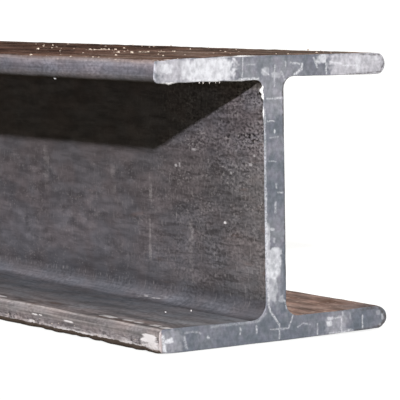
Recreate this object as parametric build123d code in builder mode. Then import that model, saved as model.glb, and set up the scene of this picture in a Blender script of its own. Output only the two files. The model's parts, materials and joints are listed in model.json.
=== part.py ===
"""Hot-rolled wide-flange steel I-beam, sawn square to a stock length.

Frame: X runs along the beam, Y across the flanges, Z up through the web.
The origin is the middle of the lower flange's underside, half way along the beam.
"""

import os

from build123d import *

# Driving dimensions, in millimetres
beam_length = 1219.2  # ready-cut stock length, four feet
section_depth = 105.7  # over the two flanges
flange_width = 103.1  # over the toes
flange_thickness = 8.5  # parallel flanges, with no taper
web_thickness = 8.6
root_radius = 6.35  # where the web runs into a flange
toe_inner_radius = 3.4  # flange edge, on the side of the web
toe_outer_radius = 2.4  # flange edge, on the bearing face


def toe_rows(section):
    """The corners of the flange edges, in rows from the underside up to the top."""
    columns = section.vertices().group_by(Axis.X)
    return (columns[0] + columns[-1]).group_by(Axis.Y)


with BuildPart() as i_beam:
    # The rolled section: two parallel flanges and the web between them
    with BuildSketch(Plane.YZ) as section:
        Rectangle(web_thickness, section_depth, align=(Align.CENTER, Align.MIN))
        Rectangle(flange_width, flange_thickness, align=(Align.CENTER, Align.MIN))
        with Locations((0, section_depth)):
            Rectangle(flange_width, flange_thickness, align=(Align.CENTER, Align.MAX))

        # Four root corners, in the two middle columns of corners
        columns = section.vertices().group_by(Axis.X)
        fillet(columns[1] + columns[2], root_radius)

        # Four inner toe corners, in the two middle rows
        rows = toe_rows(section)
        fillet(rows[1] + rows[2], toe_inner_radius)

        # Four outer toe corners, beside the bearing faces
        rows = toe_rows(section)
        fillet(rows[0] + rows[-1], toe_outer_radius)

    # Both ends are sawn square
    extrude(amount=beam_length / 2, both=True)

i_beam.part.label = "i_beam"

os.makedirs("parts", exist_ok=True)
export_step(i_beam.part, "parts/i_beam.step")
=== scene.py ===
import itertools
import json
import math

import bpy
import numpy as np
from mathutils import Matrix, Vector, noise
from mathutils.geometry import delaunay_2d_cdt


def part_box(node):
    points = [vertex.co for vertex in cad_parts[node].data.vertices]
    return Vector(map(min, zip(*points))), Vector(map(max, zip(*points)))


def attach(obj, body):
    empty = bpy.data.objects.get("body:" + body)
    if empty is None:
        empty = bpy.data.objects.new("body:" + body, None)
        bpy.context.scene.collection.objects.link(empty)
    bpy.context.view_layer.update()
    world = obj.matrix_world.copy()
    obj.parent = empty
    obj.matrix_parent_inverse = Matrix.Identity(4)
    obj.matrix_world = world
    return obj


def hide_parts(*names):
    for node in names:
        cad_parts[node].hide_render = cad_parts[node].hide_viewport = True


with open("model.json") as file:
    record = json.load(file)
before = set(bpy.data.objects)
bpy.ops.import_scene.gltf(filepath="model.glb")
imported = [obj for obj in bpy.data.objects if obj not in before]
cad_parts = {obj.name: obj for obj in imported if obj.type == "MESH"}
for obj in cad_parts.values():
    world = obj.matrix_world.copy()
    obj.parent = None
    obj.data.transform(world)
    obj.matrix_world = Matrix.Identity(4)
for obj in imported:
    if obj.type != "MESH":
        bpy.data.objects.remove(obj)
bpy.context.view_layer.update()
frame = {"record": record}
scene = bpy.context.scene
mm = 0.001

# the rolled section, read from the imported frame
mountPlace = {mount["name"]: mount["pos_m"] for mount in frame["record"]["mounts"]}
boxLow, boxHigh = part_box("i_beam")
length = boxHigh.x - boxLow.x
halfWidth = boxHigh.y
depth = boxHigh.z
flange = mountPlace["lower_flange_seat_left"][2]  # flange thickness
halfWeb = mountPlace["web_face_right"][1]
print("section read:", round(length, 4), "x", round(2 * halfWidth, 4), "x", round(depth, 4))


def paint(red, green, blue):
    # screen values from 0 to 255, turned into a linear colour
    shares = [channel / 255 for channel in (red, green, blue)]
    return tuple(s / 12.92 if s <= 0.04045 else ((s + 0.055) / 1.055) ** 2.4 for s in shares)


def paints(*rows):
    return [paint(*row) for row in rows]


# Beam mesh

beamShape = {
    "roots": {  # as rolled, in mm: radius and shift across and up
        "lowerLeft": (6.35, (0.0, 0.0)),
        "upperLeft": (3.6, (0.0, 0.0)),
        "upperRight": (4.8, (0.25, 0.9)),
        "lowerRight": (5.6, (0.25, 0.2)),
    },
    "toes": {  # in the same way: the outer corner, then the inner one
        "lowerLeft": (1.4, (0.0, 0.0), 2.6, (0.0, 0.0)),
        "upperLeft": (1.2, (-0.5, 0.2), 2.2, (-0.5, 0.4)),
        "upperRight": (4.0, (0.0, -0.4), 3.8, (0.0, 0.0)),
        "lowerRight": (4.0, (0.0, 0.7), 3.8, (0.0, 0.75)),
    },
    "arcSteps": 9,
    "flatSteps": {
        "Toe": 0.7 * mm,
        "Seat": 2.2 * mm,
        "Web": 2.4 * mm,
        "top": 2.6 * mm,
        "underside": 5.0 * mm,
    },
    "flatGrading": 0.65,  # finer towards the corners
    "bands": [  # distance back from the near end, and the step up to there
        (130 * mm, 1.6 * mm),
        (260 * mm, 4.0 * mm),
        (length - 40 * mm, 14.0 * mm),
        (length, 3.5 * mm),
    ],
    "capStep": 0.34 * mm,
    "farCapStep": 1.2 * mm,
    "capSpacing": (0.87, 0.55),  # in steps: from row to row, and the least gap to the rim
    "rimDepth": 0.5 * mm,  # the saw's rounded rim
    "crestDepth": 0.15 * mm,
    "rimInset": 0.28 * mm,
    "scratchDepth": 0.04 * mm,
    "lipLift": (0.6 * mm, 90 * mm),  # lower left lip, bent up towards the near end
    # unevenness: height, size along each axis in metres, shift
    "wave": (0.16 * mm, (0.14, 0.05, 0.05), 3.1),
    "scaleRelief": (0.06 * mm, (0.012, 0.006, 0.006), 7.7),
    "pits": (0.22 * mm, (0.009, 0.004, 0.003), 11.3),
    "pitLimit": 0.42,  # only the tops of the noise make pits
    "toeRough": (0.16 * mm, (0.006, 0.003, 0.003), 17.9),
    "raggedEdge": [  # lower left toe
        (0.4 * mm, (0.004, 0.003, 0.0025), 23.5),
        (0.4 * mm, (0.013, 0.006, 0.006), 25.5),
    ],
    "raggedReach": 0.5,  # up the flange's thickness
    "capRipple": (0.07 * mm, (1.0, 0.006, 0.009), 41.0),
    # burrs and wear of the sawn ends
    "fineBurr": (0.05 * mm, (0.002, 0.002, 0.002), 31.7),
    "fineBurrBase": 0.03 * mm,
    "heavyBurr": (0.9, (0.0017, 0.0017, 0.0017)),  # swing about the height, and its size
    "heavyBurrBase": 0.7,
    "heavyBurrLimits": (0.05, 1.6),
    "burrShares": {"rim": 0.45, "crest": 1.0, "side": 0.35},
    "wearShares": {"rim": 1.0, "crest": 0.6, "side": 0.4, "behind": 0.15},
    "burrHighlightTints": (0.6, 1.0, 0.5),  # how bright a burr is painted on the rim, crest and side, as its highlight
    "burrHighlightFull": 0.5 * mm,  # a burr of this height gets the full painted highlight
}

# heavier burrs of the photographed end, in mm: across, up, reach along the outline, height
nearBurrs = [
    (-4.3, 92.3, 2.0, 2.5),  # web, under the upper root
    (-4.3, 84.8, 2.4, 0.5),
    (-45.5, 97.4, 4.5, 0.8),  # lip under the upper left toe
    (-30.0, 97.4, 12.0, 0.35),
    (-14.0, 97.4, 7.0, 0.3),
    (-16.0, 105.7, 8.0, 0.3),  # top
    (-4.0, 105.7, 7.0, 0.3),
    (-51.5, 4.5, 4.0, 0.4),  # lower left toe
    (-4.3, 45.0, 14.0, 0.14),
    (-4.3, 22.0, 12.0, 0.16),
]

# worn corners of that end, in the same order, with the depth lost
nearWear = [
    (-51.5, 0.0, 3.0, 1.1),
    (-51.5, 4.5, 3.6, 0.6),
    (-49.5, 105.7, 4.5, 1.0),
    (50.2, 8.8, 2.6, 0.9),
    (50.2, 1.2, 2.4, 0.6),
]

# loose scale near that end, in mm: back from it, across, up, width, height, and then brightness
onTop = depth / mm
onSeat = flange / mm
underToe = (depth - flange) / mm
nearFlakes = [
    (155, -10, onTop, 1.2, 0.5, 0.9),
    (128, -1, onTop, 1.4, 0.4, 0.8),
    (126, -2, onTop, 2.4, 0.15, 0.4),
    (123, -2, onTop, 1.1, 0.4, 0.7),
    (124, 1, onTop, 3.4, 0.15, 0.4),
    (124, 2, onTop, 1.0, 0.4, 0.8),
    (125, 4, onTop, 1.3, 0.35, 0.6),
    (122, 3, onTop, 3.0, 0.15, 0.4),
    (120, 3, onTop, 0.9, 0.4, 0.8),
    (118, 5, onTop, 1.3, 0.35, 0.6),
    (80, -5, onTop, 3.2, 0.15, 0.35),
    (76, 0, onTop, 3.6, 0.15, 0.35),
    (85, -14, onTop, 1.3, 0.6, 0.75),
    (75, -14, onTop, 1.4, 0.75, 0.75),
    (56, -33, onTop, 1.2, 0.5, 0.8),
    (82, -6, onTop, 1.4, 0.35, 0.6),
    (79, -4, onTop, 1.2, 0.4, 0.6),
    (74, 5, onTop, 1.0, 0.35, 0.6),
    (34, -26, onTop, 0.9, 0.5, 0.55),
    (89, -51, onTop, 1.3, 0.55, 0.7),
    (59, -51, onTop, 1.2, 0.45, 0.7),
    (43, -51, onTop, 0.9, 0.45, 0.7),
    (39, -51, onTop, 1.0, 0.4, 0.7),
    (40, -23, onSeat, 0.8, 0.6, 0.05),
    (37, -13.4, onSeat, 0.9, 0.7, 0.1),
    (73, -50, underToe, 1.2, -0.35, 0.05),
    (0.5, -32.2, underToe, 0.5, -0.6, 0.3),
    (0.5, -30.6, underToe, 0.5, -0.8, 0.3),
    (0.5, -27.8, underToe, 0.5, -0.9, 0.3),
    (0.5, -25.2, underToe, 0.4, -0.7, 0.3),
    (0.5, -23.4, underToe, 0.5, -0.9, 0.3),
]
looseScale = {
    "seed": 7,
    "count": 260,  # scattered over the top
    "endGap": 3,
    "spread": 0.92,  # of half the width
    "width": (0.4, 1.1),
    "height": (0.12, 0.3),
    "bright": (0.1, 0.6),
    "sides": 6,  # the form of each chip, from here on
    "sunk": 0.3,
    "topShare": 0.62,
    "stretch": 1.4,  # along the beam
    "ragged": (0.7, 1.2),
    "levels": (0.6, 1.0),
    "peak": 0.9,
    "tone": paint(112, 90, 80),
    "burrTone": paint(192, 192, 198),  # below the top
}

# finish of each stretch of the section; a list runs along it, clockwise as seen from the near end
plainFinish = {
    "rust": 0.0,
    "wear": 0.0,
    "fleck": 0.0,
    "grit": 0.16,
    "streak": 0.14,
    "patch": 0.05,
    "upright": 0.0,
    "underShade": 0.0,
    "dash": 0.0,
    "soft": 0.0,
    "speck": 0.0,
}
browned = {"rust": 0.5, "grit": 0.16, "streak": 0.28, "patch": 0.2, "fleck": 0.3}
finishes = {
    "underside": {**browned, "tone": paint(92, 80, 73)},
    # the downward rounding of the lower left toe: its dark tone and underShade are painted shade
    "lowerLeftCorner": {"tone": paint(62, 54, 49), "grit": 0.3, "underShade": [1.0, 1.0, 1.0, 0.85]},
    # the lowest stops are a painted highlight along the lit lower edge
    "lowerLeftToe": {
        "tone": paints((184, 175, 178), (168, 159, 162), (140, 131, 135), (135, 127, 131),
                       (134, 127, 130), (138, 132, 134), (142, 136, 137)),
        "wear": [0.8, 0.7, 0.5, 0.45, 0.3, 0.2, 0.15],
        "underShade": [0.68, 0.4, 0.1, 0.0, 0.0, 0.0, 0.0],
        "grit": [0.6, 0.6, 0.5, 0.35, 0.16, 0.1, 0.1],
        "fleck": [0.9, 0.9, 0.8, 0.6, 0.2, 0.0, 0.0],
        "streak": [0.2, 0.2, 0.24, 0.26, 0.26, 0.24, 0.24],
    },
    # the fifth stop is a painted highlight along the lip's edge
    "lowerLeftLip": {
        "tone": paints((141, 135, 136), (140, 134, 136), (140, 133, 136), (136, 128, 130),
                       (198, 190, 191), (130, 122, 124), (122, 115, 117)),
        "wear": [0.15, 0.15, 0.15, 0.3, 0.4, 0.1, 0.1],
        "rust": [0.0, 0.0, 0.0, 0.05, 0.1, 0.3, 0.34],
        "streak": 0.3,
    },
    "lowerLeftSeat": {
        "tone": paints((124, 117, 119), (124, 118, 121), (116, 113, 117), (107, 106, 111),
                       (104, 104, 110), (104, 104, 110), (105, 105, 111)),
        "wear": [0.3, 0.3, 0.1, 0.0, 0.0, 0.0, 0.0],
        "rust": [0.4, 0.3, 0.12, 0.0, 0.0, 0.0, 0.0],
        "streak": [0.5, 0.45, 0.34, 0.22, 0.16, 0.12, 0.1],
    },
    # the lighter middle stop is a painted highlight along the fillet
    "lowerLeftRoot": {
        "tone": paints((98, 97, 103), (103, 102, 109), (118, 117, 125), (99, 97, 103), (84, 82, 87)),
        "upright": [0.0, 0.0, 0.0, 0.3, 1.0],
    },
    "leftWeb": {
        "tone": paints((90, 88, 94), (103, 100, 106), (119, 115, 122), (112, 107, 113),
                       (107, 102, 107), (107, 102, 106), (107, 101, 105), (110, 104, 108),
                       (113, 106, 110)),
        "grit": 0.24,
        "streak": 0.08,
        "patch": 0.0,
        "upright": 1.0,
    },
    "upperLeftRoot": {"tone": paint(96, 89, 86), "rust": 0.2, "upright": 0.4},
    "upperLeftSeat": {"tone": paint(96, 90, 87), "rust": 0.2},
    "upperLeftLip": {"tone": paints((98, 93, 94), (106, 102, 106), (114, 110, 116))},
    "upperLeftToe": {
        "tone": paints((117, 114, 121), (119, 117, 128), (143, 139, 151), (164, 157, 165)),
        "patch": 0.14,
    },
    # the first stop is a painted highlight along the corner's edge
    "upperLeftCorner": {
        "tone": paints((158, 148, 153), (136, 122, 121), (96, 77, 68)),
        "wear": [0.35, 0.45, 0.3],
        "rust": [0.0, 0.25, 0.5],
        "fleck": 0.4,
        "streak": 0.2,
    },
    "top": {
        "tone": paints((91, 74, 67), (78, 64, 59), (86, 74, 68), (96, 85, 79)),
        "rust": 0.4,
        "fleck": 0.3,
        "grit": 0.3,
        "streak": 0.5,
        "patch": 0.3,
    },
    "upperRightCorner": {**browned, "tone": paint(112, 98, 90)},
    "upperRightToe": {**browned, "tone": paint(114, 102, 97)},
    "upperRightLip": {**browned, "tone": paint(110, 97, 91)},
    "upperRightSeat": {**browned, "tone": paint(108, 94, 87)},
    "upperRightRoot": {**browned, "tone": paint(106, 94, 88), "upright": 0.4},
    "rightWeb": {**browned, "tone": paint(110, 97, 90), "streak": 0.22, "upright": 1.0, "rust": 0.4},
    "lowerRightRoot": {**browned, "tone": paint(134, 110, 100), "upright": 0.3},
    "lowerRightSeat": {**browned, "tone": paint(139, 118, 110), "streak": 0.45, "rust": 0.25},
    "lowerRightLip": {**browned, "tone": paints((118, 101, 94), (84, 73, 68), (76, 67, 64))},
    "lowerRightToe": {**browned, "tone": paint(118, 106, 101)},
    "lowerRightCorner": {**browned, "tone": paint(98, 86, 80)},
}


def sectionCorners(shape):
    # clockwise as seen from the near end, from the lower left
    def toeCorner(toe, across, up, outer):
        radius, shift = shape["toes"][toe][:2] if outer else shape["toes"][toe][2:]
        return across + shift[0] * mm, up + shift[1] * mm, radius * mm

    def rootCorner(root, across, up):
        radius, shift = shape["roots"][root]
        return across + shift[0] * mm, up + shift[1] * mm, radius * mm

    return [  # across, up and radius, finish of the corner, finish of the run after it
        (toeCorner("lowerLeft", -halfWidth, 0, True), "lowerLeftCorner", "lowerLeftToe"),
        (toeCorner("lowerLeft", -halfWidth, flange, False), "lowerLeftLip", "lowerLeftSeat"),
        (rootCorner("lowerLeft", -halfWeb, flange), "lowerLeftRoot", "leftWeb"),
        (rootCorner("upperLeft", -halfWeb, depth - flange), "upperLeftRoot", "upperLeftSeat"),
        (toeCorner("upperLeft", -halfWidth, depth - flange, False), "upperLeftLip", "upperLeftToe"),
        (toeCorner("upperLeft", -halfWidth, depth, True), "upperLeftCorner", "top"),
        (toeCorner("upperRight", halfWidth, depth, True), "upperRightCorner", "upperRightToe"),
        (toeCorner("upperRight", halfWidth, depth - flange, False), "upperRightLip", "upperRightSeat"),
        (rootCorner("upperRight", halfWeb, depth - flange), "upperRightRoot", "rightWeb"),
        (rootCorner("lowerRight", halfWeb, flange), "lowerRightRoot", "lowerRightSeat"),
        (toeCorner("lowerRight", halfWidth, flange, False), "lowerRightLip", "lowerRightToe"),
        (toeCorner("lowerRight", halfWidth, 0, True), "lowerRightCorner", "underside"),
    ]


def sectionOutline(shape):
    # from the middle of the underside to the left and round
    corners = sectionCorners(shape)
    places = [np.array(corner[0][:2]) for corner in corners]
    points, names = [], []

    def addRun(start, end, name):
        # graded steps, without the two end points, which belong to the arcs
        step = next(size for ending, size in shape["flatSteps"].items() if name.endswith(ending))
        count = max(2, math.ceil(np.linalg.norm(end - start) / step))
        share = np.arange(1, count) / count
        share = share - shape["flatGrading"] * np.sin(2 * math.pi * share) / (2 * math.pi)
        points.extend(start + (end - start) * s for s in share)
        names.extend([name] * len(share))

    underMiddle = np.array([0.0, 0.0])
    points.append(underMiddle)
    names.append("underside")
    lastPoint = underMiddle
    lastRun = "underside"
    for number, ((_, _, radius), cornerName, runName) in enumerate(corners):
        place = places[number]
        before = places[number - 1]
        after = places[(number + 1) % len(places)]
        inward = (place - before) / np.linalg.norm(place - before)
        onward = (after - place) / np.linalg.norm(after - place)
        centre = place - inward * radius + onward * radius
        addRun(lastPoint, place - inward * radius, lastRun)
        for angle in np.linspace(0, math.pi / 2, shape["arcSteps"]):
            points.append(centre - onward * radius * math.cos(angle) + inward * radius * math.sin(angle))
            names.append(cornerName)
        lastPoint = place + onward * radius
        lastRun = runName
    addRun(lastPoint, underMiddle, lastRun)
    points = np.array(points)
    tangents = np.roll(points, -1, axis=0) - np.roll(points, 1, axis=0)
    tangents /= np.linalg.norm(tangents, axis=1)[:, None]
    normals = np.stack([-tangents[:, 1], tangents[:, 0]], axis=1)
    return points, normals, names


def beamStations(shape):
    stations = [shape["rimDepth"]]
    for reach, step in shape["bands"]:
        stop = min(reach, length - shape["rimDepth"])
        count = max(1, round((stop - stations[-1]) / step))
        stations.extend(np.linspace(stations[-1], stop, count + 1)[1:])
    return boxHigh.x - np.array(stations)


def noiseField(points, size, shift):
    # smooth noise from -1 to 1, size in metres along each axis
    scaled = points / np.asarray(size) + shift
    return np.array([noise.noise(place) for place in scaled.tolist()])


def uneven(points, height, size, shift):
    return height * noiseField(points, size, shift)


def named(names, endings):
    # 1 for the points whose stretch has one of the endings
    return np.array([float(name.endswith(endings)) for name in names])


def bell(values):
    return np.exp(-(values ** 2))


def beamRelief(shape, points, names):
    # how far each point of the rolled surface stands in or out
    relief = uneven(points, *shape["wave"]) + uneven(points, *shape["scaleRelief"])
    pitDepth, pitSize, pitShift = shape["pits"]
    relief -= pitDepth * np.clip(noiseField(points, pitSize, pitShift) - shape["pitLimit"], 0, 1)
    relief += named(names, ("Toe", "Corner", "Lip")) * uneven(points, *shape["toeRough"])
    lowEdge = named(names, ("lowerLeftCorner", "lowerLeftToe"))
    lowEdge *= np.clip(1 - points[:, 2] / (shape["raggedReach"] * flange), 0, 1)
    for ragged in shape["raggedEdge"]:
        relief += lowEdge * uneven(points, *ragged)
    return np.where(named(names, "underside") > 0, -np.abs(relief), relief)


def nearTo(outline, across, up, reach):
    # 1 at the place, in mm, and 0 away from it
    return bell(np.linalg.norm(outline / mm - (across, up), axis=1) / reach)


def endBurr(shape, outline, xPlace, heavyBurrs):
    places = np.column_stack([np.full(len(outline), xPlace), outline])
    burr = shape["fineBurrBase"] + uneven(places, *shape["fineBurr"])
    for across, up, reach, height in heavyBurrs:
        ragged = shape["heavyBurrBase"] + uneven(places, *shape["heavyBurr"], across)
        ragged = np.clip(ragged, *shape["heavyBurrLimits"])
        burr += height * mm * nearTo(outline, across, up, reach) * ragged
    return np.clip(burr, 0, None)


def wornRim(outline):
    # how far the rim of the photographed end is rounded off
    rows = [lost * mm * nearTo(outline, across, up, reach) for across, up, reach, lost in nearWear]
    return np.max(rows, axis=0)


def insideOutline(points, ring):
    # even-odd test of each point against the closed ring
    inside = np.zeros(len(points), bool)
    for (ya, za), (yb, zb) in zip(ring, np.roll(ring, -1, axis=0)):
        crosses = (za > points[:, 1]) != (zb > points[:, 1])
        reach = (yb - ya) * (points[:, 1] - za) / (zb - za if zb != za else 1) + ya
        inside ^= crosses & (points[:, 0] < reach)
    return inside


def smoothStep(values, low, high):
    share = np.clip((values - low) / (high - low), 0, 1)
    return share * share * (3 - 2 * share)


def drawPatches(places, rows, wander, edge):
    # rounded patches, with edges moved by wander
    total = np.zeros(len(places))
    for across, up, halfAcross, halfUp, strength in rows:
        offset = (places - (across, up)) / (halfAcross, halfUp)
        reach = np.sqrt((offset ** 4).sum(axis=1))
        total = np.maximum(total, strength * smoothStep(reach + wander, *edge))
    return total


def drawLines(places, rows, core):
    # thin lines through the corners of each row
    total = np.zeros(len(places))
    for width, strength, *corners in rows:
        for start, end in zip(corners, corners[1:]):
            run = np.subtract(end, start)
            share = np.clip((places - start) @ run / (run @ run), 0, 1)
            gap = np.linalg.norm(places - start - share[:, None] * run, axis=1)
            total = np.maximum(total, strength * smoothStep(gap, width, core * width))
    return total


def endMarks(points, finish):
    # marks of the photographed end, on the points of its face and rim
    onEnd = points[:, 0] > boxHigh.x - finish["markDepth"]
    face = points * (0, 1, 1)
    shaken = points[:, 1:] / mm + np.column_stack([uneven(face, *row) for row in finish["shake"]])
    wander = sum(uneven(face, *row) for row in finish["wander"])
    edge, core = finish["patchEdge"], finish["lineCore"]
    marks = {}
    for name, share in finish["patchWander"].items():
        marks[name] = drawPatches(shaken, finish[name + "Patches"], share * wander, edge)
    marks["line"] = drawLines(shaken, finish["scratchesAndRimGlints"], core)
    marks["rimShade"] = drawLines(shaken, finish["rimShadeLines"], core)
    return {name: onEnd * values for name, values in marks.items()}


def capMesh(ring, step, spacing):
    # fills the closed ring with even triangles, numbered over the ring and then the new inner points
    rowGap, rimGap = spacing
    rows = np.arange(ring[:, 1].min(), ring[:, 1].max(), step * rowGap)
    columns = np.arange(ring[:, 0].min(), ring[:, 0].max(), step)
    grid = np.array([(y + (step / 2) * (k % 2), z) for k, z in enumerate(rows) for y in columns])
    grid = grid[insideOutline(grid, ring)]
    gap = np.min(np.linalg.norm(grid[:, None, :] - ring[None, :, :], axis=2), axis=1)
    grid = grid[gap > rimGap * step]
    flat = [Vector(place) for place in np.vstack([ring, grid]) / mm]
    edges = [(k, (k + 1) % len(ring)) for k in range(len(ring))]
    _, _, faces, original, _, _ = delaunay_2d_cdt(flat, edges, [], 1, 1e-6)
    source = [numbers[0] for numbers in original]
    return grid, [[source[k] for k in face] for face in faces]


def flakePieces(form):
    # chips of loose scale: corners, faces and brightness of each
    random = np.random.RandomState(form["seed"])
    rows = list(nearFlakes)
    for _ in range(form["count"]):
        back = random.uniform(form["endGap"], length / mm - form["endGap"])
        across = random.uniform(-form["spread"], form["spread"]) * halfWidth / mm
        size = [random.uniform(*form[key]) for key in ("width", "height", "bright")]
        rows.append((back, across, onTop, *size))
    points, faces, brightness = [], [], []
    sides = form["sides"]
    for back, across, up, width, height, bright in rows:
        start = len(points)
        peak = start + 2 * sides
        turn = random.uniform(0, math.pi)
        for share, level in ((1.0, -math.copysign(form["sunk"], height)), (form["topShare"], height)):
            for k in range(sides):
                angle = turn + 2 * math.pi * k / sides
                reach = 0.5 * width * share * random.uniform(*form["ragged"])
                points.append((boxHigh.x / mm - back + form["stretch"] * reach * math.cos(angle),
                               across + reach * math.sin(angle),
                               up + level * random.uniform(*form["levels"])))
        points.append((boxHigh.x / mm - back, across, up + form["peak"] * height))
        chip = [tuple(range(start + sides - 1, start - 1, -1))]
        for k in range(sides):
            low, lowAfter = start + k, start + (k + 1) % sides
            high, highAfter = low + sides, lowAfter + sides
            chip += [(low, lowAfter, highAfter, high), (high, highAfter, peak)]
        faces += chip if height > 0 else [face[::-1] for face in chip]
        brightness += [bright] * (2 * sides + 1)
    return np.array(points) * mm, faces, np.array(brightness)


def beamLoops(shape, outline, outward, names):
    # closed loops from the near rim to the far one, and how bright their burrs are painted as a
    # highlight
    count = len(outline)
    lift, liftReach = shape["lipLift"]
    liftShare = named(names, ("lowerLeftSeat", "lowerLeftLip", "lowerLeftToe"))
    liftShare *= np.clip((-outline[:, 0] - 2 * halfWeb) / (halfWidth - 2 * halfWeb), 0, 1)
    liftShare *= np.clip(outline[:, 1] / flange, 0, 1)

    def beamRing(xPlace, extra):
        places = np.column_stack([np.full(count, xPlace), outline])
        relief = beamRelief(shape, places, names) + extra
        moved = outline + outward * relief[:, None]
        moved[:, 1] += lift * liftShare * max(0.0, 1 - (boxHigh.x - xPlace) / liftReach)
        moved[:, 1] = np.clip(moved[:, 1], 0, None)  # nothing reaches below the underside
        return np.column_stack([np.full(count, xPlace), moved])

    nearBurr = endBurr(shape, outline, boxHigh.x, nearBurrs)
    farBurr = endBurr(shape, outline, boxLow.x, [])
    worn = wornRim(outline)
    burrShares = shape["burrShares"]
    wearShares = shape["wearShares"]

    def endRings(xEnd, direction, burr, lost):
        rimOut = burrShares["rim"] * burr - wearShares["rim"] * lost - shape["rimInset"]
        crestOut = burrShares["crest"] * burr - wearShares["crest"] * lost
        return beamRing(xEnd, rimOut), beamRing(xEnd - direction * shape["crestDepth"], crestOut)

    nearRim, nearCrest = endRings(boxHigh.x, 1, nearBurr, worn)
    farRim, farCrest = endRings(boxLow.x, -1, farBurr, 0)
    stations = beamStations(shape)
    standOut = {
        0: burrShares["side"] * nearBurr - wearShares["side"] * worn,
        1: -wearShares["behind"] * worn,
        len(stations) - 1: burrShares["side"] * farBurr,
    }
    sides = [beamRing(x, standOut.get(k, 0)) for k, x in enumerate(stations)]

    nearTints = [tint * nearBurr for tint in shape["burrHighlightTints"]]
    farTints = [tint * farBurr for tint in reversed(shape["burrHighlightTints"])]
    noBurr = [np.zeros(count)] * (len(sides) - 2)
    burrValues = np.concatenate([*nearTints, *noBurr, *farTints]) / shape["burrHighlightFull"]
    return [nearRim, nearCrest, *sides, farCrest, farRim], burrValues


def capFace(shape, points, first, count, step, direction):
    # inner points of the end whose rim starts at first, and its triangles
    grid, triangles = capMesh(points[first:first + count, 1:], step, shape["capSpacing"])
    places = np.column_stack([np.full(len(grid), points[first, 0]), grid])
    places[:, 0] += direction * uneven(places, *shape["capRipple"])
    places[:, 0] -= direction * shape["scratchDepth"] * endMarks(places, sawnEnd)["line"]
    inner = len(points) - count
    faces = [[first + k if k < count else inner + k for k in triangle] for triangle in triangles]
    return places, faces if direction > 0 else [face[::-1] for face in faces]


def buildBeam(shape):
    outline, outward, names = sectionOutline(shape)
    loops, burrValues = beamLoops(shape, outline, outward, names)
    count = len(outline)
    lastLoop = (len(loops) - 1) * count
    points = np.vstack(loops)
    faces = []
    for first in range(0, lastLoop, count):
        for k in range(count):
            here, after = first + k, first + (k + 1) % count
            faces.append((here, after, after + count, here + count))
    sawn = [k < count or k >= len(faces) - count for k in range(len(faces))]  # both rims are sawn

    for first, step, direction in ((0, shape["capStep"], 1), (lastLoop, shape["farCapStep"], -1)):
        capPoints, capFaces = capFace(shape, points, first, count, step, direction)
        points = np.vstack([points, capPoints])
        faces += capFaces
        sawn += [True] * len(capFaces)

    chipPoints, chipFaces, chipBright = flakePieces(looseScale)
    flakeValues = np.concatenate([np.zeros(len(points)), chipBright])
    faces += [[len(points) + k for k in face] for face in chipFaces]
    points = np.vstack([points, chipPoints])
    burrValues = np.concatenate([burrValues, np.zeros(len(points) - len(burrValues))])
    smooth = [True] * len(sawn) + [False] * len(chipFaces)
    sawn += [False] * len(chipFaces)

    mesh = bpy.data.meshes.new("i_beam_skin")
    mesh.from_pydata(points.tolist(), [], faces)
    mesh.polygons.foreach_set("use_smooth", np.array(smooth))
    mesh.polygons.foreach_set("material_index", np.array(sawn, np.int32))
    piece = bpy.data.objects.new("i_beam_skin", mesh)
    scene.collection.objects.link(piece)
    addFinishFields(mesh, points, names, len(loops), burrValues, flakeValues)
    mesh.update()
    return piece


def alongOutline(names, key):
    # the finish of each point of the outline, softened at the joints of the stretches
    values = []
    for name, stretch in itertools.groupby(names):
        count = len(list(stretch))
        given = finishes[name].get(key, plainFinish.get(key))
        stops = np.array(given if isinstance(given, list) else [given, given], float)
        stops = stops.reshape(len(stops), -1)
        share = (np.arange(count) + 0.5) / count
        marks = np.linspace(0, 1, len(stops))
        values.append(np.column_stack([np.interp(share, marks, column) for column in stops.T]))
    line = np.vstack(values)
    return (np.roll(line, 1, axis=0) + 2 * line + np.roll(line, -1, axis=0)) / 4


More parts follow.
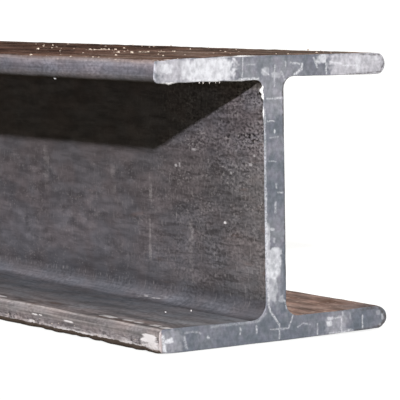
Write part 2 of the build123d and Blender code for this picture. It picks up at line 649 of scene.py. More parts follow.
# changes of the finish along the beam, by places in mm
webFace = ("leftWeb", "upperLeftRoot")
smoothWeb = {"up": (58, 66), "back": (50, 90)}
softWeb = {"back": (25, 140)}  # coarser and calmer further back
calmWeb = {"up": (26, 18), "back": (30, 80)}
highWeb = (56, 74)
rightToe = {"across": (33, 40), "near": 13}
alongBeam = [  # field, how it changes, stretches, then each amount and its place
    ("rust", "add", webFace, (0.16, {"fade": 20})),  # browner behind the sawn end
    ("grit", "scale", webFace, (0.5, {"fade": 50})),
    ("grit", "scale", webFace, (-0.4, smoothWeb)),
    ("grit", "scale", webFace, (-0.35, softWeb)),
    ("grit", "scale", webFace, (-0.7, calmWeb)),
    ("grit", "scale", webFace, (1.1, {"up": highWeb, "near": 45})),
    ("streak", "scale", webFace, (-0.6, smoothWeb)),
    ("streak", "scale", webFace, (-0.6, softWeb)),
    ("streak", "scale", webFace, (-0.7, calmWeb)),
    ("soft", "add", webFace, (1.0, softWeb)),
    ("dash", "add", webFace, (0.2, {}), (0.8, {"fade": 60})),
    ("dash", "add", "rightWeb", (0.3, {})),
    ("dash", "scale", "", (-0.55, {"near": 14})),
    ("speck", "add", webFace, (0.25, {}), (0.75, {"up": (30, 60), "near": 60})),
    ("speck", "scale", webFace, (-0.9, smoothWeb)),
    ("wear", "scale", "lowerLeftToe", (0.6, {"near": 45})),
    ("wear", "add", ("lowerLeftSeat", "lowerLeftRoot"), (0.64, {"spot": (-7, 2.6, 76, 26)})),  # scuffed
    ("wear", "add", "top", (0.7, {"near": 4})),  # the sawn edge
    ("wear", "add", "top", (0.5, {"spot": (2, 7, 118, 22)})),
    # the painted shade under the toe fades out within 10 mm of the sawn end
    ("underShade", "scale", "", (-1.0, {"back": (10, 1)})),
    ("light", "scale", webFace, (0.55, {"fade": 15}), (-0.2, {"fade": 15, "up": highWeb}),
     (0.07, {"fade": 160}), (-0.25, {})),  # darker further back
    ("light", "scale", webFace, (-0.14, {"up": (30, 16), "near": 25})),
    ("light", "scale", webFace, (0.16, {"up": (26, 17), "back": (120, 80)})),
    ("light", "scale", webFace, (0.19, {"up": highWeb, "near": 55}), (-0.1, {"near": 55})),
    ("light", "scale", "lowerLeftRoot", (-0.1, {"near": 50})),
    ("light", "scale", "lowerLeftSeat", (0.7, {"near": 55})),
    ("light", "scale", "lowerLeftSeat", (0.35, {"spot": (-42, 6, 85, 35)})),
    ("light", "scale", "lowerLeftCorner", (1.6, {"near": 6})),
    ("light", "scale", "upperLeftToe", (-0.12, {"back": (40, 110)})),
    ("light", "scale", "top", (1.15, {"back": (130, 65)})),
    ("light", "scale", "top", (0.4, {"spot": (2, 9, 118, 25)})),
    ("light", "scale", "top", (-0.35, {"across": (2, 22), "back": (8, 22)})),
    ("light", "scale", "lowerRightSeat", (0.45, {"across": (26, 16), "near": 16})),
    ("light", "scale", "lowerRightSeat", (-0.42, rightToe)),
]
toneCasts = [  # stretches, place, change of red, green and blue
    (webFace, {"fade": 45}, (-0.01, -0.015, -0.09)),  # olive
    (webFace, {"up": highWeb, "near": 65}, (-0.02, -0.01, 0.07)),  # bluer
    ("top", {"back": (60, 110)}, (0.05, -0.09, -0.11)),  # redder
    ("lowerRightSeat", rightToe, (-0.08, 0.05, 0.2)),  # greyer
]
rustDrift = (0.12, (0.11, 0.05, 0.05), 51.0)  # unevenness of the whole beam
lightDrift = (0.08, (0.12, 0.04, 0.04), 57.0)


def placeShare(place, back, across, up):
    # from 0 to 1 over the beam
    distances = {"back": back, "across": across, "up": up}
    share = np.ones(len(back))
    for kind, numbers in place.items():
        if kind == "near":  # a bell at the photographed end
            share *= bell(back / numbers)
        elif kind == "fade":
            share *= np.exp(-back / numbers)
        elif kind == "spot":  # middle and reach across, then back
            middleAcross, reachAcross, middleBack, reachBack = numbers
            share *= bell((across - middleAcross) / reachAcross) * bell((back - middleBack) / reachBack)
        else:
            share *= smoothStep(distances[kind], *numbers)
    return share


def addFinishFields(mesh, points, names, loopCount, burrValues, flakeValues):
    # fields that the materials read, even along the outline and then changed along the beam
    restCount = len(points) - loopCount * len(names)
    back = (boxHigh.x - points[:, 0]) / mm  # distance behind the photographed end
    across = points[:, 1] / mm
    up = points[:, 2] / mm

    def whole(line):
        return np.vstack([np.tile(line, (loopCount, 1)), np.zeros((restCount, line.shape[1]))])

    def shareOf(stretches, place):
        return whole(named(names, stretches)[:, None])[:, 0] * placeShare(place, back, across, up)

    fields = {key: whole(alongOutline(names, key))[:, 0] for key in plainFinish}
    fields["rust"] += uneven(points, *rustDrift)
    fields["light"] = 1 + uneven(points, *lightDrift)
    for name, how, stretches, *terms in alongBeam:
        change = sum(amount * shareOf(stretches, place) for amount, place in terms)
        fields[name] = fields[name] + change if how == "add" else fields[name] * (1 + change)
    light = fields.pop("light")[:, None]
    fields.update(endMarks(points, sawnEnd), burr=burrValues, flake=flakeValues)
    for name, values in fields.items():
        mesh.attributes.new(name, "FLOAT", "POINT").data.foreach_set("value", values.astype(np.float32))

    tone = whole(alongOutline(names, "tone"))
    isChip = flakeValues > 0
    tone[isChip] = looseScale["tone"]
    tone[isChip & (up < onTop - 1)] = looseScale["burrTone"]
    cast = sum(shareOf(stretches, place)[:, None] * tint for stretches, place, tint in toneCasts)
    colour = np.column_stack([tone * light * (1 + cast), np.ones(len(tone))]).astype(np.float32)
    mesh.attributes.new("tone", "FLOAT_COLOR", "POINT").data.foreach_set("color", colour.ravel())


# Shader helpers

def feed(tree, node, inputs):
    # links the inputs that are sockets, and sets the others
    for name, value in inputs.items():
        if isinstance(value, bpy.types.NodeSocket):
            tree.links.new(value, node.inputs[name])
        else:
            node.inputs[name].default_value = value


def put(tree, kind, inputs=None, **settings):
    # a new node with its settings and inputs
    node = tree.nodes.new(kind)
    for name, value in settings.items():
        setattr(node, name, value)
    feed(tree, node, inputs or {})
    return node


def calc(tree, operation, first, second=0.0, third=0.0, clamp=False):
    inputs = {0: first, 1: second, 2: third}
    return put(tree, "ShaderNodeMath", inputs, operation=operation, use_clamp=clamp).outputs[0]


def times(tree, first, second):
    return calc(tree, "MULTIPLY", first, second)


def scaled(tree, value, factor, offset):
    return calc(tree, "MULTIPLY_ADD", value, factor, offset)


def swung(tree, cloud, swing, middle):
    # the middle, moved up and down by the cloud
    return scaled(tree, calc(tree, "SUBTRACT", cloud, 0.5), swing, middle)


def vectorCalc(tree, operation, first, second):
    return put(tree, "ShaderNodeVectorMath", {0: first, 1: second}, operation=operation).outputs[0]


def ramp(tree, value, low, high):
    # smooth step from 0 at low to 1 at high
    inputs = {"Value": value, "From Min": low, "From Max": high}
    return put(tree, "ShaderNodeMapRange", inputs, interpolation_type="SMOOTHSTEP").outputs[0]


def span(tree, value, low, high):
    # from low at 0 to high at 1
    return put(tree, "ShaderNodeMapRange", {"Value": value, "To Min": low, "To Max": high}).outputs[0]


def mixMask(tree, share, first, second):
    return put(tree, "ShaderNodeMix", {0: share, 2: first, 3: second}).outputs[0]


def mixTone(tree, share, first, second, blend="MIX"):
    inputs = {0: share}
    for index, tone in ((6, first), (7, second)):
        inputs[index] = tone if isinstance(tone, bpy.types.NodeSocket) else (*tone, 1.0)
    node = put(tree, "ShaderNodeMix", inputs, data_type="RGBA", blend_type=blend, clamp_factor=True)
    return node.outputs[2]


def shaded(tree, colour, mask, amount):
    # darker where the mask is 0 and lighter where it is 1
    swing = scaled(tree, mask, 2.0, -1.0)
    return mixTone(tree, 1.0, colour, scaled(tree, swing, amount, 1.0), "MULTIPLY")


def newGroup(name, inputs):
    tree = bpy.data.node_groups.new(name, "ShaderNodeTree")
    for label, kind in inputs:
        tree.interface.new_socket(label, in_out="INPUT", socket_type=kind)
    tree.interface.new_socket("Mask", in_out="OUTPUT", socket_type="NodeSocketFloat")
    return tree, tree.nodes.new("NodeGroupInput").outputs, tree.nodes.new("NodeGroupOutput")


def fillGroup(tree, group, inputs):
    return put(tree, "ShaderNodeGroup", inputs, node_tree=group).outputs[0]


vectorKind, floatKind = "NodeSocketVector", "NodeSocketFloat"
groupForm = {
    "dotSizes": (0.9, 0.4),  # by chance: factor and offset
    "dotCore": 0.3,
    "patchEdge": (1.5, 0.4),
}


def makeRolledGrain():
    # noise stretched by Grain, in mm along each axis, cut between Low and High
    inputs = [("Place", vectorKind), ("Grain", vectorKind), ("Shift", floatKind), ("Detail", floatKind)]
    inputs += [("Low", floatKind), ("High", floatKind)]
    tree, given, out = newGroup("rolledGrain", inputs)
    stretched = vectorCalc(tree, "DIVIDE", given["Place"], given["Grain"])
    shifted = vectorCalc(tree, "ADD", stretched, given["Shift"])
    cloudInputs = {"Vector": shifted, "Scale": 1.0, "Detail": given["Detail"]}
    cloud = put(tree, "ShaderNodeTexNoise", cloudInputs).outputs[0]
    feed(tree, out, {"Mask": ramp(tree, cloud, given["Low"], given["High"])})
    return tree


def makeSpeckle(form):
    # dots of a share of the cells, each smaller than its cell
    inputs = [("Place", vectorKind), ("Cell", vectorKind), ("Share", floatKind), ("Size", floatKind)]
    tree, given, out = newGroup("speckle", inputs)
    cellPlace = vectorCalc(tree, "DIVIDE", given["Place"], given["Cell"])
    cells = put(tree, "ShaderNodeTexVoronoi", {"Vector": cellPlace, "Scale": 1.0})
    chance = put(tree, "ShaderNodeSeparateColor", {"Color": cells.outputs["Color"]}).outputs
    chosen = calc(tree, "LESS_THAN", chance[0], given["Share"])
    size = times(tree, given["Size"], scaled(tree, chance[1], *form["dotSizes"]))
    dot = ramp(tree, cells.outputs["Distance"], size, times(tree, size, form["dotCore"]))
    feed(tree, out, {"Mask": times(tree, dot, chosen)})
    return tree


def makeBrushPatch(form):
    # a rounded patch about Centre, its edge moved by Wander
    inputs = [("Place", vectorKind), ("Centre", vectorKind), ("Half", vectorKind), ("Wander", floatKind)]
    tree, given, out = newGroup("brushPatch", inputs)
    offset = vectorCalc(tree, "SUBTRACT", given["Place"], given["Centre"])
    inHalves = vectorCalc(tree, "DIVIDE", offset, given["Half"])
    squared = vectorCalc(tree, "MULTIPLY", inHalves, inHalves)
    reach = put(tree, "ShaderNodeVectorMath", {0: squared}, operation="LENGTH").outputs["Value"]
    feed(tree, out, {"Mask": ramp(tree, calc(tree, "ADD", reach, given["Wander"]), *form["patchEdge"])})
    return tree


rolledGrain = makeRolledGrain()
speckle = makeSpeckle(groupForm)
brushPatch = makeBrushPatch(groupForm)
print("shader groups ready:", len(bpy.data.node_groups))


def emptyTree(owner):
    owner.use_nodes = True
    owner.node_tree.nodes.clear()
    return owner.node_tree


def newMaterial(name):
    material = bpy.data.materials.new(name)
    tree = emptyTree(material)
    surface = put(tree, "ShaderNodeBsdfPrincipled")
    put(tree, "ShaderNodeOutputMaterial", {"Surface": surface.outputs[0]})
    place = put(tree, "ShaderNodeTexCoord").outputs["Object"]
    inMm = put(tree, "ShaderNodeVectorMath", {0: place, "Scale": 1 / mm}, operation="SCALE")
    return material, tree, surface, inMm.outputs[0]


def dress(tree, surface, colour, rough, height, bump):
    normal = put(tree, "ShaderNodeBump", {"Height": height, "Distance": bump}).outputs[0]
    feed(tree, surface, {"Base Color": colour, "Roughness": rough, "Normal": normal})


def grain(tree, place, size, low, high, shift, detail):
    inputs = {"Place": place, "Grain": size, "Shift": shift, "Detail": detail, "Low": low, "High": high}
    return fillGroup(tree, rolledGrain, inputs)


def meshField(tree, name):
    return put(tree, "ShaderNodeAttribute", attribute_name=name).outputs["Fac"]


def strongest(tree, rows, build, total=0.0):
    # the largest of the masks built from the rows
    for row in rows:
        total = calc(tree, "MAXIMUM", build(row), total)
    return total


# Sawn ends

sawnEnd = {
    "dim": paint(82, 89, 100),
    "dark": paint(97, 101, 111),
    "mid": paint(122, 122, 131),
    "pale": paint(182, 180, 188),
    # ground metal and lit rims, painted white to stand for their sheen and highlights
    "white": paint(216, 217, 224),
    # bare burrs, painted white as their highlight
    "burr": paint(232, 230, 232),
    # painted shade along the rims
    "rimShade": paint(66, 60, 58),
    "warm": paint(164, 152, 153),
    "green": (0.97, 1.015, 0.99),
    "purple": (1.02, 0.985, 1.02),
    "roughness": (0.58, 0.44),
    "metallic": 0.3,
    "bump": 0.04 * mm,
    "sawHeight": 0.5,
    "grains": {  # size in mm along each axis, lower and upper cut, shift, detail
        "blotch": ((1.0, 9.0, 7.0), 0.3, 0.7, 1.3, 4.0),
        "mottle": ((1.0, 1.4, 1.8), 0.3, 0.72, 4.1, 5.0),
        "sawLines": ((1.0, 26.0, 0.4), 0.3, 0.7, 8.2, 4.0),
        "clouds": ((1.0, 2.0, 2.4), 0.3, 0.7, 6.6, 5.0),
        "drift": ((1.0, 3.2, 4.2), 0.35, 0.65, 17.0, 3.0),
        "patchy": ((1.0, 1.2, 1.2), 0.25, 0.6, 12.7, 3.0),
        "broken": ((1.0, 0.8, 0.8), 0.35, 0.62, 23.0, 3.0),
    },
    "shades": {"mottle": 0.17, "drift": 0.07, "sawLines": 0.04},
    "whiteCover": (0.65, 0.46),  # how the grain breaks the marks up: factor and offset
    "patchyCover": (0.35, 0.65),
    "paleCover": (0.4, 0.75),
    "lineCover": (0.7, 0.25),
    "burrHighlightEdge": (0.25, 1.0),
    "markDepth": 0.3 * mm,  # how far round the rim the marks go
    "shake": [  # moves the marks across and up: distance in mm, size along each axis in metres, shift
        (0.28, (1, 0.0016, 0.0016), 61.0),
        (0.28, (1, 0.0016, 0.0016), 67.0),
    ],
    "wander": [  # moves the edges of the patches
        (0.55, (1, 0.0022, 0.0026), 71.0),
        (0.35, (1, 0.0009, 0.0009), 73.0),
    ],
    "patchWander": {"white": 1.0, "pale": 1.0, "dim": 1.0, "warm": 0.4},
    "patchEdge": (1.3, 0.6),
    "lineCore": 0.2,
    "whitePatches": [  # ground metal, painted white to stand for its sheen: middle across and up, half sizes, strength
        (39.0, 101.6, 1.2, 3.4, 0.5),
        (47.0, 103.4, 3.0, 0.9, 0.35),
        (-46.4, 102.6, 2.8, 1.7, 0.85),
        (-37.8, 101.6, 2.4, 3.4, 0.9),
        (-27.0, 101.2, 10.0, 4.6, 1.0),
        (-3.2, 38.6, 0.9, 5.2, 0.65),
        (-1.2, 41.8, 1.1, 0.5, 0.5),
        (-0.5, 37.6, 0.6, 1.0, 0.45),
        (0.2, 33.5, 2.9, 1.5, 0.75),
        (-0.9, 28.2, 3.3, 5.0, 0.85),
        (-1.4, 20.0, 2.1, 5.2, 0.5),
        (22.0, 103.8, 2.3, 1.6, 0.8),
        (25.0, 6.4, 1.4, 0.6, 0.85),
        (24.4, 4.4, 1.2, 1.1, 0.8),
        (47.9, 2.0, 0.8, 0.4, 0.55),
        (49.4, 5.0, 0.6, 1.2, 0.6),
        (-3.6, 100.0, 1.9, 1.5, 0.4),
        (1.0, 98.6, 2.4, 1.0, 0.4),
        (-47.1, 4.6, 1.8, 0.8, 0.95),
        (-49.2, 1.8, 0.8, 1.6, 0.95),
        (2.3, 15.8, 1.1, 1.3, 0.4),
    ],
    "palePatches": [  # a lighter grey
        (-35.0, 101.3, 17.5, 5.0, 0.8),
        (38.8, 101.2, 14.0, 5.2, 0.92),
        (0.0, 93.0, 6.0, 10.0, 0.22),
        (0.0, 101.0, 14.0, 4.5, 0.16),
        (-46.0, 4.5, 4.5, 4.0, 0.35),
        (27.5, 3.5, 5.0, 3.6, 0.3),
        (-0.2, 24.0, 4.0, 12.0, 0.15),
        (47.4, 6.6, 1.0, 0.9, 0.3),
    ],
    "dimPatches": [  # a darker grey
        (-45.5, 98.6, 5.5, 2.0, 0.3),
        (-22.0, 4.0, 24.0, 6.0, 0.3),
        (13.0, 4.0, 11.0, 6.0, 0.35),
        (43.0, 4.2, 9.0, 5.0, 0.45),
        (3.4, 24.0, 1.6, 14.0, 0.8),
        (0.5, 58.0, 5.0, 12.0, 0.25),
        (6.1, 9.6, 1.0, 1.6, 0.6),
    ],
    "warmPatches": [(-51.4, 4.2, 1.3, 4.6, 1.0)],  # the worn corner
    "scratchesAndRimGlints": [  # scratches, and painted highlights along the lit left rims: width, strength, then places across and up
        (0.41, 0.6, (-13.5, 105.6), (-13.7, 98.2)),
        (0.41, 0.4, (-11.8, 102.9), (-7.8, 102.7)),
        (0.8, 0.9, (-15.0, 97.5), (-6.6, 97.4)),
        (0.49, 0.6, (-4.8, 100.8), (-2.1, 98.9)),
        (0.41, 0.55, (0.7, 102.0), (0.5, 94.4)),
        (0.66, 0.45, (3.6, 99.6), (5.2, 96.6)),
        (0.49, 0.5, (5.0, 96.4), (7.4, 97.6), (11.0, 98.0)),
        (0.49, 0.5, (5.6, 103.4), (5.6, 101.2)),
        (0.57, 0.7, (7.9, 102.9), (13.0, 102.2)),
        (0.74, 0.9, (13.0, 102.2), (12.8, 100.4), (9.6, 98.5)),
        (0.66, 0.7, (18.4, 104.4), (20.1, 100.8)),
        (0.49, 0.75, (23.9, 102.6), (24.2, 98.0)),
        (0.5, 0.85, (25.8, 102.5), (30.5, 102.0), (32.0, 101.2), (38.7, 101.0)),
        (0.37, 0.4, (33.0, 104.0), (34.0, 98.6)),
        (0.41, 0.55, (-3.1, 90.0), (-0.4, 89.9)),
        (0.49, 0.8, (0.8, 90.0), (3.6, 90.1)),
        (0.41, 0.7, (-2.8, 81.9), (0.3, 81.7)),
        (0.57, 0.95, (0.3, 78.3), (0.3, 77.5)),
        (0.41, 0.35, (-1.8, 75.6), (1.9, 75.9)),
        (0.41, 0.4, (-2.2, 67.0), (0.8, 66.8)),
        (0.49, 0.5, (0.8, 58.6), (0.8, 57.0)),
        (0.49, 0.6, (1.5, 55.3), (3.5, 55.1)),
        (0.66, 0.5, (0.3, 51.6), (0.2, 47.9)),
        # the next three: painted highlight along the lit left rim of the web
        (0.6, 0.5, (-3.9, 86.0), (-4.1, 57.0)),
        (0.74, 0.7, (-4.0, 57.0), (-4.0, 34.0)),
        (0.82, 0.7, (-3.9, 34.0), (-3.4, 14.0)),
        (0.57, 0.75, (-3.4, 14.0), (-2.6, 11.4), (1.4, 6.2)),
        (0.49, 0.55, (1.4, 6.2), (1.3, 1.0)),
        (0.49, 0.65, (7.4, 8.7), (5.5, 4.6)),
        (0.55, 0.55, (3.6, 15.4), (4.8, 12.1)),
        (0.41, 0.5, (-2.7, 4.7), (5.5, 4.4)),
        (0.41, 0.4, (9.6, 4.6), (12.0, 5.6), (15.6, 5.0)),
        (0.41, 0.65, (18.8, 4.8), (18.8, 0.8)),
        (0.45, 0.6, (26.6, 6.2), (29.8, 6.6)),
        (0.45, 0.8, (30.0, 6.0), (30.0, 1.0)),
        (0.6, 0.45, (30.6, 8.6), (30.4, 7.0)),
        (0.7, 0.3, (34.1, 7.4), (34.1, 5.6)),
        (0.8, 0.7, (33.2, 1.1), (34.6, 1.2)),
        (0.49, 0.65, (39.9, 6.2), (39.9, 1.2)),
        (0.57, 0.8, (24.3, 0.7), (35.6, 0.6)),
        # painted highlight along the lit rim of the lower left toe
        (1.0, 1.0, (-50.0, 6.4), (-49.8, 4.0), (-49.2, 0.6)),
        (0.8, 0.95, (-49.6, 4.2), (-46.0, 5.4)),
        (0.95, 0.45, (-40.8, 5.4), (-39.8, 1.4)),
        (0.6, 0.3, (-40.4, 6.8), (-36.9, 7.2), (-33.6, 6.2)),
        (0.7, 0.7, (-30.5, 4.5), (-30.2, 4.2)),
        (0.49, 0.5, (-16.1, 6.6), (-16.1, 4.0)),
        (0.57, 0.65, (-9.0, 6.6), (-9.0, 3.8)),
        (0.7, 0.28, (-29.0, 8.1), (-8.0, 8.2), (-4.6, 11.0)),
    ],
    "rimShadeLines": [  # painted shade along the rims, in the same order
        (0.6, 0.8, (6.4, 97.2), (4.6, 95.4), (4.3, 92.0), (4.3, 76.0)),
        (0.5, 0.55, (4.4, 66.0), (4.3, 24.0)),
        (0.5, 0.7, (40.0, 105.0), (49.0, 104.6), (51.2, 101.6), (49.4, 98.2), (34.0, 97.6)),
        (0.6, 0.35, (28.4, 8.9), (34.8, 9.0)),
        (0.7, 0.7, (39.3, 8.4), (44.0, 8.5)),
        (0.9, 0.85, (44.0, 8.9), (48.6, 8.2), (50.8, 5.0), (49.6, 2.2), (46.6, 1.2)),
        (0.6, 0.6, (46.6, 1.2), (36.0, 0.9)),
    ],
}


def makeSawnSteel(finish):
    material, tree, surface, place = newMaterial("sawn_steel")
    face = vectorCalc(tree, "MULTIPLY", place, (0.0, 1.0, 1.0))
    cloud = {name: grain(tree, face, *row) for name, row in finish["grains"].items()}
    whiteCover = scaled(tree, cloud["clouds"], *finish["whiteCover"])
    whiteCover = times(tree, whiteCover, scaled(tree, cloud["patchy"], *finish["patchyCover"]))
    paleCover = scaled(tree, cloud["clouds"], *finish["paleCover"])
    white = calc(tree, "MULTIPLY", meshField(tree, "white"), whiteCover, clamp=True)
    pale = calc(tree, "MULTIPLY", meshField(tree, "pale"), paleCover, clamp=True)
    lines = times(tree, meshField(tree, "line"), scaled(tree, cloud["broken"], *finish["lineCover"]))
    # painted shade along the rims
    rimShade = times(tree, meshField(tree, "rimShade"), cloud["patchy"])
    # burrs, painted white as their highlight
    burr = ramp(tree, meshField(tree, "burr"), *finish["burrHighlightEdge"])

    colour = mixTone(tree, cloud["blotch"], finish["dark"], finish["mid"])
    tint = mixTone(tree, cloud["drift"], finish["green"], finish["purple"])
    colour = mixTone(tree, 1.0, colour, tint, "MULTIPLY")
    colour = mixTone(tree, meshField(tree, "dim"), colour, finish["dim"])
    colour = mixTone(tree, pale, colour, finish["pale"])
    for name, amount in finish["shades"].items():
        colour = shaded(tree, colour, cloud[name], amount)
    colour = mixTone(tree, meshField(tree, "warm"), colour, finish["warm"])
    # white marks, painted shade on the rims, then burrs painted white as their highlight
    for share, name in ((white, "white"), (lines, "white"), (rimShade, "rimShade"), (burr, "burr")):
        colour = mixTone(tree, share, colour, finish[name])

    height = scaled(tree, cloud["sawLines"], finish["sawHeight"], cloud["mottle"])
    height = calc(tree, "SUBTRACT", height, lines)
    dress(tree, surface, colour, span(tree, white, *finish["roughness"]), height, finish["bump"])
    surface.inputs["Metallic"].default_value = finish["metallic"]
    return material


# Mill scale and rust

millScale = {
    "warm": (1.03, 0.99, 0.985),
    "cool": (0.97, 1.0, 1.03),
    "dash": paint(56, 52, 53),
    "speck": paint(196, 190, 192),
    "rustDark": paint(78, 60, 52),
    "rustMid": paint(134, 101, 86),
    "fleck": paint(238, 222, 208),
    "worn": paint(248, 243, 249),
    # bare burrs, painted white as their highlight
    "burr": paint(232, 230, 232),
    # painted shade along the underside of the lower left toe
    "underShade": paint(86, 75, 69),
    "roughness": (0.62, 0.9),
    "specular": 0.0,
    "bump": 0.1 * mm,
    "heights": {"fine": 0.4, "mottle": 0.6, "rust": 0.5, "dashes": -0.8},
    "grains": {  # size in mm along each axis, lower and upper cut, shift, detail
        "fine": ((1.8, 1.5, 1.0), 0.3, 0.7, 15.0, 3.0),
        "coarse": ((6.5, 5.0, 3.6), 0.3, 0.7, 63.0, 2.0),
        "mottle": ((15.0, 6.0, 3.4), 0.3, 0.7, 9.0, 4.0),
        "upStreaks": ((1.5, 20.0, 5.0), 0.3, 0.7, 2.2, 2.0),
        "longStreaks": ((28.0, 6.5, 0.6), 0.33, 0.67, 5.4, 4.0),
        "tint": ((16.0, 10.0, 9.0), 0.35, 0.65, 19.0, 2.0),
        "cluster": ((12.0, 9.0, 6.5), 0.36, 0.64, 37.0, 3.0),
        "scabs": ((15.0, 10.0, 5.0), 0.3, 0.7, 29.0, 5.0),
        "rust": ((18.0, 9.0, 5.0), 0.2, 0.8, 21.0, 5.0),
        "rustTone": ((26.0, 7.0, 1.6), 0.35, 0.65, 25.0, 4.0),
        "dashes": ((11.0, 3.0, 1.5), 0.53, 0.67, 13.0, 2.5),
        "curls": ((1.9, 1.6, 1.0), 0.54, 0.76, 77.0, 2.0),
        "hairs": ((0.9, 20.0, 3.4), 0.58, 0.74, 47.0, 2.0),
        "wear": ((7.0, 1.8, 0.9), 0.25, 0.75, 33.0, 5.0),
        "chips": ((1.8, 1.2, 0.7), 0.3, 0.55, 59.0, 3.0),
        "underShade": ((5.0, 1.6, 1.6), 0.2, 0.8, 43.0, 4.0),
    },
    "specks": ((1.8, 1.8, 1.4), 0.35, 0.36),  # cells in mm, share of them, size of the dots
    "flecks": ((2.4, 2.0, 0.8), 0.3, 0.5),
    "clump": (0.8, 0.6),  # how one grain changes another: factor and offset
    "mottle": (0.14, 0.06),
    "wander": (1.2, -0.6),
    "wearChips": (0.6, 0.4),
    "markChips": (0.25, 0.75),
    "wearBase": 0.4,
    "rustSwing": 0.9,
    "underShadeSwing": 0.4,
    "rustEdge": (0.3, 0.85),  # where each begins and is full
    "fleckEdge": (0.1, 0.7),
    "wearEdge": (0.45, 0.95),
    "underShadeEdge": (0.42, 0.58),
    "burrHighlightEdge": (0.2, 0.9),
    "rustCover": 0.7,  # how much each covers
    "dashCover": 0.7,
    "dotCover": 0.8,
    "curlCover": 0.7,
    "speckCover": 0.75,
    "hairCover": 2.6,
    "wearCover": 0.66,
    "wornMarks": [  # near the photographed end: back from it, across, up, half sizes, strength
        (7.0, -51.5, 5.2, 4.8, 1.5, 1.7, 1.2),
        (4.5, -51.5, 3.0, 3.4, 1.5, 1.8, 0.9),
        (43.2, -46.2, 8.8, 5.5, 1.5, 1.2, 0.85),
        (29.2, -46.2, 8.8, 3.0, 1.2, 1.2, 0.75),
        (21.8, -46.4, 8.9, 2.6, 1.3, 1.2, 0.75),
        (10.6, -46.2, 9.0, 3.2, 1.3, 1.2, 0.8),
        (1.6, -46.8, 9.1, 3.4, 1.5, 1.2, 0.9),
        (124.0, -47.6, 8.5, 4.0, 1.4, 1.2, 0.75),
        (89.5, -51.5, 5.3, 1.9, 1.0, 0.26, 1.0),
        (85.0, -51.5, 5.4, 1.4, 1.0, 0.24, 1.0),
        (64.0, -51.5, 5.2, 3.2, 1.0, 0.28, 1.0),
        (57.0, -51.5, 1.9, 15.0, 1.0, 0.4, 0.7),
        (26.0, -51.5, 1.7, 13.0, 1.0, 0.45, 0.6),
        (92.0, -51.5, 1.8, 2.0, 1.0, 1.0, 0.7),
        (26.5, -4.3, 42.6, 0.8, 1.0, 0.5, 0.85),
        (60.0, -4.3, 62.3, 0.8, 1.0, 0.5, 0.4),
        (57.4, -4.3, 62.7, 0.5, 1.0, 0.7, 0.35),
        (47.4, -4.3, 69.2, 1.6, 1.0, 0.5, 0.3),
        (22.0, -4.3, 61.5, 0.7, 1.0, 0.5, 0.35),
        (9.0, -4.3, 65.3, 1.0, 1.0, 0.5, 0.4),
        (6.5, -4.3, 68.9, 0.6, 1.0, 0.5, 0.35),
    ],
    "rollMarks": [  # a faint broken line across the web, in the same order
        (78.6, -4.3, 55.0, 1.1, 1.0, 7.0, 0.2),
        (79.6, -4.3, 31.0, 0.9, 1.0, 9.0, 0.15),
        (160.0, -4.3, 56.0, 2.2, 1.0, 9.0, 0.1),
        (107.0, -4.3, 52.0, 2.0, 1.0, 11.0, 0.11),
        (50.0, -4.3, 33.0, 1.6, 1.0, 10.0, 0.11),
    ],
}


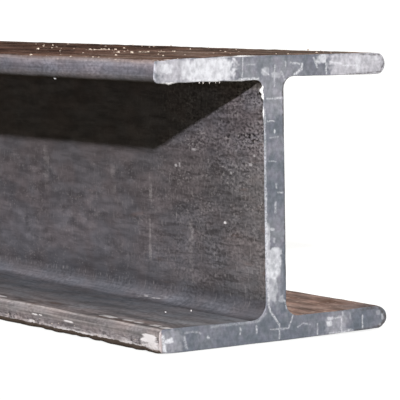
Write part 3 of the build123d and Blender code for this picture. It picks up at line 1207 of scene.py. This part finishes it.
def makeMillScale(finish):
    material, tree, surface, place = newMaterial("mill_scale")
    cloud = {name: grain(tree, place, *row) for name, row in finish["grains"].items()}
    tone = put(tree, "ShaderNodeAttribute", attribute_name="tone").outputs["Color"]
    upright = meshField(tree, "upright")
    streak = meshField(tree, "streak")

    def dots(name):
        cell, share, size = finish[name]
        return fillGroup(tree, speckle, {"Place": place, "Cell": cell, "Share": share, "Size": size})

    # rolled scale
    tint = mixTone(tree, cloud["tint"], finish["warm"], finish["cool"])
    colour = mixTone(tree, 1.0, tone, tint, "MULTIPLY")
    fine = mixMask(tree, meshField(tree, "soft"), cloud["fine"], cloud["coarse"])
    grit = times(tree, meshField(tree, "grit"), scaled(tree, cloud["cluster"], *finish["clump"]))
    colour = shaded(tree, colour, fine, grit)
    colour = shaded(tree, colour, cloud["mottle"], scaled(tree, upright, *finish["mottle"]))
    colour = shaded(tree, colour, cloud["scabs"], meshField(tree, "patch"))
    streaks = mixMask(tree, upright, cloud["longStreaks"], cloud["upStreaks"])
    colour = shaded(tree, colour, streaks, streak)

    # rust
    rust = swung(tree, cloud["rust"], finish["rustSwing"], meshField(tree, "rust"))
    rust = times(tree, ramp(tree, rust, *finish["rustEdge"]), finish["rustCover"])
    rustTone = mixTone(tree, cloud["rustTone"], finish["rustDark"], finish["rustMid"])
    colour = mixTone(tree, rust, colour, rustTone)

    # dark dashes, pale specks and upright hairs
    dashes = times(tree, cloud["dashes"], meshField(tree, "dash"))
    colour = mixTone(tree, times(tree, dashes, finish["dashCover"]), colour, finish["dash"])
    curls = times(tree, cloud["curls"], finish["curlCover"])
    specks = calc(tree, "MAXIMUM", times(tree, dots("specks"), finish["dotCover"]), curls)
    specks = times(tree, times(tree, specks, cloud["cluster"]), meshField(tree, "speck"))
    colour = mixTone(tree, times(tree, specks, finish["speckCover"]), colour, finish["speck"])
    hairs = times(tree, times(tree, cloud["hairs"], upright), times(tree, streak, finish["hairCover"]))
    colour = mixTone(tree, hairs, colour, finish["speck"])

    # flecks, and the chips of loose scale
    flecks = times(tree, dots("flecks"), meshField(tree, "fleck"))
    flecks = calc(tree, "MAXIMUM", ramp(tree, flecks, *finish["fleckEdge"]), meshField(tree, "flake"))
    colour = mixTone(tree, flecks, colour, finish["fleck"])

    # wear, bare marks and roll lines
    wander = scaled(tree, cloud["wear"], *finish["wander"])

    def wornMark(row):
        back, across, up, halfBack, halfAcross, halfUp, strength = row
        inputs = {"Place": place, "Centre": (boxHigh.x / mm - back, across, up),
                  "Half": (halfBack, halfAcross, halfUp), "Wander": wander}
        return times(tree, fillGroup(tree, brushPatch, inputs), strength)

    wear = times(tree, meshField(tree, "wear"), calc(tree, "ADD", cloud["wear"], finish["wearBase"]))
    wear = times(tree, ramp(tree, wear, *finish["wearEdge"]), finish["wearCover"])
    wear = times(tree, wear, scaled(tree, cloud["chips"], *finish["wearChips"]))
    worn = strongest(tree, finish["wornMarks"], wornMark, wear)
    worn = times(tree, worn, scaled(tree, cloud["chips"], *finish["markChips"]))
    colour = mixTone(tree, worn, colour, finish["worn"])
    broken = times(tree, calc(tree, "ADD", cloud["chips"], fine), cloud["cluster"])
    rolled = times(tree, strongest(tree, finish["rollMarks"], wornMark), broken)
    colour = mixTone(tree, rolled, colour, finish["speck"])

    # painted shade under the lower left toe, and burrs painted white as their highlight
    underShade = swung(tree, cloud["underShade"], finish["underShadeSwing"], meshField(tree, "underShade"))
    colour = mixTone(tree, ramp(tree, underShade, *finish["underShadeEdge"]), colour, finish["underShade"])
    burr = ramp(tree, meshField(tree, "burr"), *finish["burrHighlightEdge"])
    colour = mixTone(tree, burr, colour, finish["burr"])

    height = 0.0
    masks = {"fine": fine, "mottle": cloud["mottle"], "rust": rust, "dashes": dashes}
    for name, share in finish["heights"].items():
        height = scaled(tree, masks[name], share, height)
    dress(tree, surface, colour, span(tree, rust, *finish["roughness"]), height, finish["bump"])
    surface.inputs["Specular IOR Level"].default_value = finish["specular"]
    return material


beam = buildBeam(beamShape)
beam.data.materials.append(makeMillScale(millScale))
beam.data.materials.append(makeSawnSteel(sawnEnd))
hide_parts("i_beam")
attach(beam, "root")
triangleCount = sum(len(face.vertices) - 2 for face in beam.data.polygons)
print("beam built:", len(beam.data.vertices), "points,", triangleCount, "triangles")


# Floor, light and camera

stage = {
    "floorSize": 40.0,
    "floorDrop": 0.3 * mm,
    "floorTone": (0.3, 0.29, 0.24),  # what the beam sees of the floor
    "floorGlow": 0.84,  # what the camera sees of it, with the part below
    "floorShade": (0.32, 0.32, 0.32),
    "skyTone": (1.0, 0.95, 0.68),
    "skyStrength": 0.2,
    "sunToward": (0.8092, -0.4906, 0.3233),
    "sunStrength": 4.4,
    "sunAngle": 1.5,
    "backToward": (-0.55, 0.72, 0.42),
    "backStrength": 2.0,
    "backAngle": 40.0,
}


def seenDirectly(tree):
    # 1 for the camera and for what shows in gloss, 0 for light that bounces
    path = put(tree, "ShaderNodeLightPath").outputs
    seen = calc(tree, "MAXIMUM", path["Is Camera Ray"], path["Is Glossy Ray"])
    return calc(tree, "MAXIMUM", seen, path["Is Transmission Ray"])


def addFloor(settings):
    half = settings["floorSize"] / 2
    corners = [(-half, -half), (half, -half), (half, half), (-half, half)]
    mesh = bpy.data.meshes.new("floor")
    mesh.from_pydata([(x, y, -settings["floorDrop"]) for x, y in corners], [], [(0, 1, 2, 3)])
    floor = bpy.data.objects.new("floor", mesh)
    scene.collection.objects.link(floor)
    material = bpy.data.materials.new("pale_floor")
    tree = emptyTree(material)
    plain = put(tree, "ShaderNodeBsdfDiffuse", {"Color": (*settings["floorTone"], 1.0)}).outputs[0]
    shade = put(tree, "ShaderNodeBsdfDiffuse", {"Color": (*settings["floorShade"], 1.0)}).outputs[0]
    glow = put(tree, "ShaderNodeEmission", {"Strength": settings["floorGlow"]}).outputs[0]
    white = put(tree, "ShaderNodeAddShader", {0: shade, 1: glow}).outputs[0]
    mixed = put(tree, "ShaderNodeMixShader", {0: seenDirectly(tree), 1: plain, 2: white}).outputs[0]
    put(tree, "ShaderNodeOutputMaterial", {"Surface": mixed})
    mesh.materials.append(material)


def addWorld(settings):
    world = bpy.data.worlds.new("studio")
    scene.world = world
    tree = emptyTree(world)
    skyInputs = {"Color": (*settings["skyTone"], 1.0), "Strength": settings["skyStrength"]}
    sky = put(tree, "ShaderNodeBackground", skyInputs).outputs[0]
    white = put(tree, "ShaderNodeBackground", {"Color": (1, 1, 1, 1), "Strength": 1.0}).outputs[0]
    mixed = put(tree, "ShaderNodeMixShader", {0: seenDirectly(tree), 1: sky, 2: white}).outputs[0]
    put(tree, "ShaderNodeOutputWorld", {"Surface": mixed})


def addSun(name, toward, strength, angle):
    lamp = bpy.data.lights.new(name, "SUN")
    lamp.energy = strength
    lamp.angle = math.radians(angle)
    sun = bpy.data.objects.new(name, lamp)
    sun.rotation_mode = "QUATERNION"
    sun.rotation_quaternion = Vector(toward).to_track_quat("Z", "Y")
    scene.collection.objects.link(sun)


addFloor(stage)
addWorld(stage)
addSun("key", stage["sunToward"], stage["sunStrength"], stage["sunAngle"])
addSun("back_fill", stage["backToward"], stage["backStrength"], stage["backAngle"])

view = {
    "standAzimuth": 54.8205,  # where the camera stands, round the middle of the near end
    "standElevation": 5.2411,
    "distance": 0.9263,
    "aimAzimuth": 56.5316,  # where it looks from there
    "aimElevation": 5.2334,
    "roll": -0.8803,
    "lens": 226.25,
    "sensor": 36.0,
    "clip": (0.05, 200.0),
}


def backAndRight(azimuth, elevation):
    turn, rise = math.radians(azimuth), math.radians(elevation)
    back = Vector((math.sin(turn) * math.cos(rise), -math.cos(turn) * math.cos(rise), math.sin(rise)))
    return back, Vector((math.cos(turn), math.sin(turn), 0))


def addCamera(settings):
    endMiddle = Vector((boxHigh.x, 0, depth / 2))
    stand, _ = backAndRight(settings["standAzimuth"], settings["standElevation"])
    back, right = backAndRight(settings["aimAzimuth"], settings["aimElevation"])
    up = back.cross(right)
    roll = math.radians(settings["roll"])
    rightRolled = math.cos(roll) * right + math.sin(roll) * up
    upRolled = math.cos(roll) * up - math.sin(roll) * right
    lens = bpy.data.cameras.new("camera")
    lens.lens = settings["lens"]
    lens.sensor_width = settings["sensor"]
    lens.clip_start, lens.clip_end = settings["clip"]
    camera = bpy.data.objects.new("camera", lens)
    turned = Matrix((rightRolled, upRolled, back)).transposed().to_4x4()
    camera.matrix_world = Matrix.Translation(endMiddle + stand * settings["distance"]) @ turned
    scene.collection.objects.link(camera)
    scene.camera = camera


addCamera(view)
scene.view_settings.view_transform = "Standard"
print("stage, light and camera ready")
